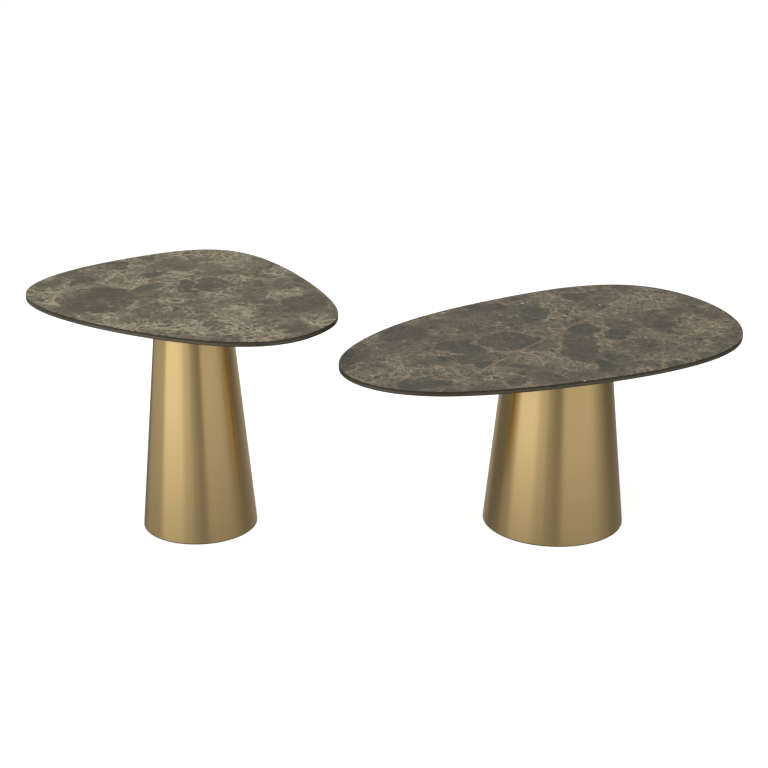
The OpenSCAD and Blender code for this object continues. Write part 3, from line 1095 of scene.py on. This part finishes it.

# %% [markdown]
# ## Painted glass and resin
#
# The panel under the ceramic is painted dark behind, so a transparent shader would only
# cost time: its edge reads as a dark, glossy solid, with a warm tint in its shine, and
# the arris along the bottom is given painted shade, a darker colour. The glue line is
# dark resin. Noise keeps both from looking like flat paint.


# %% Painted glass and resin
def painted_glass(name, node):
    """Tempered glass painted dark behind: its edge has a soft shine, and the arris
    along its lower edge is coloured darker, as painted shade."""
    f = Finish(name, Roughness=0.22, IOR=1.5, Specular_IOR_Level=1.0, Specular_Tint=(1, 0.88, 0.66, 1))
    where = f.places()
    specks = f.noise(where, scale=220.0, detail=4.0, rough=0.7)
    clouds = f.noise(where, scale=9.0, detail=3.0)
    colour = f.mix(f.span(specks, 0.4, 0.7), tone(52, 49, 39), tone(62, 58, 47))
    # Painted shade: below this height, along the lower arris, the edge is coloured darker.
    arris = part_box(node)[0].z + 1.4 * MM
    lower = f.span(f.split(where)[2], arris, arris + MM)
    f.set("Base Color", f.mix(lower, tone(28, 26, 20), colour))
    f.set("Roughness", f.span(specks, 0.3, 0.7, 0.16, 0.24))
    f.set("Normal", f.bump(clouds, 0.02, 0.001))
    return f.material


def dark_resin(name):
    """The glue line: nearly black, with a little shine."""
    f = Finish(name, Roughness=0.4)
    clouds = f.noise(f.places(), scale=60.0, detail=3.0)
    f.set("Base Color", f.mix(clouds, tone(30, 27, 22), tone(42, 38, 31)))
    f.set("Roughness", f.span(clouds, 0.3, 0.7, 0.3, 0.5))
    return f.material


for table in TABLES:
    node = f"{table}_glass_panel"
    tops[node].data.materials.append(painted_glass(f"{table}_painted_glass", node))
    print(node, "painted")

# %% [markdown]
# ## Steel, rubber and plastic
#
# The parts inside and underneath are black powder-coated steel, zinc-plated steel with
# a faint yellow and blue cast, rubber and plastic. They differ in numbers only, so one
# function makes them all: a slow noise for colour and shine, and a fine one for the
# bump, which is orange peel on the coat, tool marks on the zinc, grain on mouldings.


# %% Steel, rubber and plastic
def grained(name, tones, rough, slow, fine, bump, edges=(0.3, 0.7), **sockets):
    """Slow noise leads the colour and the roughness, and fine noise the bump.

    slow and fine hold a noise's scale, detail and roughness; bump its strength and depth."""
    f = Finish(name, **sockets)
    worn = f.noise(f.places(), *slow)
    f.set("Base Color", f.mix(f.span(worn, *edges), *tones))
    f.set("Roughness", f.span(worn, 0.3, 0.7, *rough))
    f.set("Normal", f.bump(f.noise(f.places(), *fine), *bump))
    return f.material


def moulded(name, rough, per_metre, depth):
    """Rubber or plastic from a mould: dark, matt and finely grained."""
    return grained(name, (tone(27, 27, 27), tone(40, 39, 38)), (rough - 0.06, rough + 0.08),
                   (45.0, 4.0), (per_metre, 3.0, 0.6), (0.3, depth), Roughness=rough)


COAT_TONES = (tone(34, 34, 35), tone(46, 45, 44))
ZINC_TONES = ((0.60, 0.59, 0.54, 1), (0.56, 0.59, 0.62, 1))
FINISHES = {
    "bond_resin": dark_resin("dark_resin"),
    "black_steel": grained("black_powder_coat", COAT_TONES, (0.5, 0.62), (35.0, 4.0),
                           (650.0, 2.0, 0.5), (0.35, 0.0003), Roughness=0.55),
    "bright_steel": grained("zinc_plated_steel", ZINC_TONES, (0.26, 0.40), (70.0, 3.0),
                            (900.0, 2.0), (0.12, 0.0002), (0.35, 0.65), Metallic=1.0, Roughness=0.32),
    "black_rubber": moulded("black_rubber", 0.8, 900.0, 0.0002),
    "black_plastic": moulded("black_plastic", 0.5, 1400.0, 0.0001),
    "nylon": moulded("black_nylon", 0.42, 1800.0, 0.0001),
}
print("finishes", sorted(FINISHES))

# %% [markdown]
# ## Handing the finishes out
#
# The record names a material slot for each node. A CAD node that stays gets its slot's
# finish in place of its plain colour, and a new piece takes the slot of the node that
# it stands for, so that nothing has to be listed twice.

# %% Finishes on pieces
SLOT = {row["node"]: row["material_slot"] for row in frame["record"]["subparts"]}
for node, piece in frame["nodes"].items():
    if SLOT[node] in FINISHES:
        piece.data.materials.clear()
        piece.data.materials.append(FINISHES[SLOT[node]])
for node, piece in details.items():
    piece.data.materials.append(FINISHES[SLOT[node]])
print("slots", sorted(set(SLOT.values())))

# %% [markdown]
# ## Floor and backdrop
#
# A pale floor and a white backdrop, as for a catalogue. The floor is kept out of the
# metal's reflections, as black cards on a bright studio floor do, and it is clear from
# below, so that the feet can be looked at. The backdrop is a drum that only the camera
# sees. A white world could replace it, but it would light the tables.


# %% Floor and backdrop
STAGE_COLUMNS = 64
WHITE = (1, 1, 1, 1)
FLOOR_RADIUS = 40.0


def glowing(name, strength, base=0.0, rough=1.0):
    """A grey or black finish that gives off white light."""
    f = Finish(name, Roughness=rough)
    f.set("Base Color", (base, base, base, 1))
    f.set("Emission Color", WHITE)
    f.set("Emission Strength", strength)
    return f


def on_stage(piece, finish, *unseen_by):
    """Gives a studio piece its finish and hides it from some kinds of rays."""
    piece.data.materials.append(finish.material)
    for ray in unseen_by:
        setattr(piece, f"visible_{ray}", False)
    print(piece.name, "faces", len(piece.data.polygons))


def studio_floor():
    """A large pale disc, clear when it is seen from below."""
    rim = carried([FLOOR_RADIUS], [0.0], (0.0, 0.0), STAGE_COLUMNS)[0]
    fan = fan_faces(np.arange(STAGE_COLUMNS), STAGE_COLUMNS, False)
    floor = mesh_piece("floor", np.concatenate([rim, [[0, 0, 0]]]), np.zeros((0, 4), int), fan)
    f = glowing("pale_floor", 0.86, base=0.6, rough=0.9)
    clear = f.add("BsdfTransparent")
    backfacing = f.add("NewGeometry").outputs["Backfacing"]
    both = f.add("MixShader", {0: backfacing, 1: f.shader.outputs[0], 2: clear.outputs[0]})
    f.fill(f.tree.nodes["Material Output"].inputs["Surface"], both.outputs[0])
    on_stage(floor, f, "glossy")


def studio_backdrop():
    """A white drum far around, which only the camera sees."""
    heights, radii = (-30.0, 0.0, 30.0), (38.0, 39.0, 38.0)
    rings = carried(radii, heights, (0.0, 0.0), STAGE_COLUMNS)
    drum = ring_mesh("backdrop", rings, False, (0, 0, heights[0]), (0, 0, heights[-1]))
    on_stage(drum, glowing("white_backdrop", 1.0), "glossy", "diffuse", "shadow", "transmission")


studio_floor()
studio_backdrop()

# %% [markdown]
# ## A wall of light
#
# Brushed metal looks like what stands around it. So the brass is lit by a round wall
# that glows brighter and darker around the compass, as softboxes and gaps do, and each
# change on it becomes an upright band on the cones. Single lamps would work too, but
# one wall with a list of brightnesses is easier to tune. The camera doesn't see it.

# %% Wall of light
# Each row is (degrees, brightness), where 0 is behind the camera and 90 the tables'
# right. The left wall is the main softbox, and the dark strip in front is the gap in
# which the camera stands.
WALLS = (
    (-180, 0.50), (-150, 0.34), (-124, 0.38), (-98, 0.48), (-80, 0.50), (-76, 1.10),
    (-37, 1.10), (-30, 0.74), (-16, 0.64), (-12, 0.42), (-7, 0.36), (-4, 0.42),
    (-1, 0.25), (12, 0.25), (17, 0.64), (66, 0.62), (82, 0.38), (104, 0.12),
    (120, 0.11), (136, 0.20), (152, 0.34), (180, 0.50),
)
WALLS_AT = 3.0
WALL_COLUMNS = 128
WALL_HEIGHTS = (-1.6, -0.8, 0.0, 0.8, 1.6)
UNDER_FLOOR = (-1.3, -0.1)
EVEN_GREY = (0.62, 0.61, 0.60, 1)


def studio_walls():
    """A round wall of light that lamps the metal but doesn't show to the camera.

    Its brightness depends on the compass direction of a place on it. Below the floor's
    level, where the mirror image of the floor would be, it is dimmer and more even."""
    rings = carried([WALLS_AT] * len(WALL_HEIGHTS), WALL_HEIGHTS, (0.0, 0.0), WALL_COLUMNS)
    quads = grid_faces(len(WALL_HEIGHTS), WALL_COLUMNS, False)[:, ::-1]
    drum = mesh_piece("softbox_walls", rings.reshape(-1, 3), quads)
    f = glowing("softbox_walls", 1.0)
    x, y, z = f.split(f.places())
    turn = f.span(f.math("ARCTAN2", x, f.times(y, -1.0)), -math.pi, math.pi, smooth=False)
    ramp = f.add("ValToRGB", {"Fac": turn})
    stops = ramp.color_ramp.elements
    for degrees, _ in WALLS[1:-1]:
        stops.new((degrees + 180) / 360)
    for stop, (degrees, bright) in zip(stops, WALLS):
        stop.position = (degrees + 180) / 360
        stop.color = (bright, bright * 0.99, bright * 0.97, 1)
    even = f.span(z, *UNDER_FLOOR, 0.4, 0.0, smooth=False)
    f.set("Emission Color", f.mix(even, ramp.outputs[0], EVEN_GREY))
    f.set("Emission Strength", f.span(z, *UNDER_FLOOR, 0.55, 1.0, smooth=False))
    on_stage(drum, f, "camera", "shadow")


studio_walls()

# %% [markdown]
# ## A dark screen and a lamp
#
# The cones stand side by side and mirror the same wall, yet the right one is darker on
# its left flank. In a studio a black card between them does that. This folded
# screen stands behind the left cone and shows only in mirror images. Last come a dim,
# even world light and one square softbox over the tops, for soft shadows.


# %% Screen, room light and lamp
def black_card(folds, low, high):
    """A folded dark screen that only mirror images see: upright strips between plan
    points, from one height to another."""
    plan = np.array(folds)
    rows = [np.column_stack([plan, np.full(len(plan), z)]) for z in (low, high)]
    first = np.arange(len(plan) - 1)
    strips = np.stack([first, first + 1, first + 1 + len(plan), first + len(plan)], -1)
    card = mesh_piece("black_card", np.concatenate(rows), strips)
    on_stage(card, glowing("black_card", 0.14), "camera", "diffuse", "shadow", "transmission")


ROOM_GREY = (0.2, 0.2, 0.2, 1)
SOFTBOX_AT = (0.0, -0.6, 3.2)
SOFTBOX_WIDTH = 4.0
SOFTBOX_WATTS = 82.0

black_card(folds=((-0.60, 0.14), (-1.2, 0.72), (-0.40, 0.80)), low=-0.7, high=0.38)
sky = bpy.data.worlds.new("studio")
scene.world = sky
sky.use_nodes = True
sky.node_tree.nodes["Background"].inputs["Color"].default_value = ROOM_GREY
lamp = bpy.data.lights.new("overhead", "AREA")
lamp.size = SOFTBOX_WIDTH
lamp.energy = SOFTBOX_WATTS
softbox = bpy.data.objects.new("overhead", lamp)
softbox.location = SOFTBOX_AT
scene.collection.objects.link(softbox)
print("softbox", SOFTBOX_WIDTH, "m wide,", SOFTBOX_WATTS, "W")
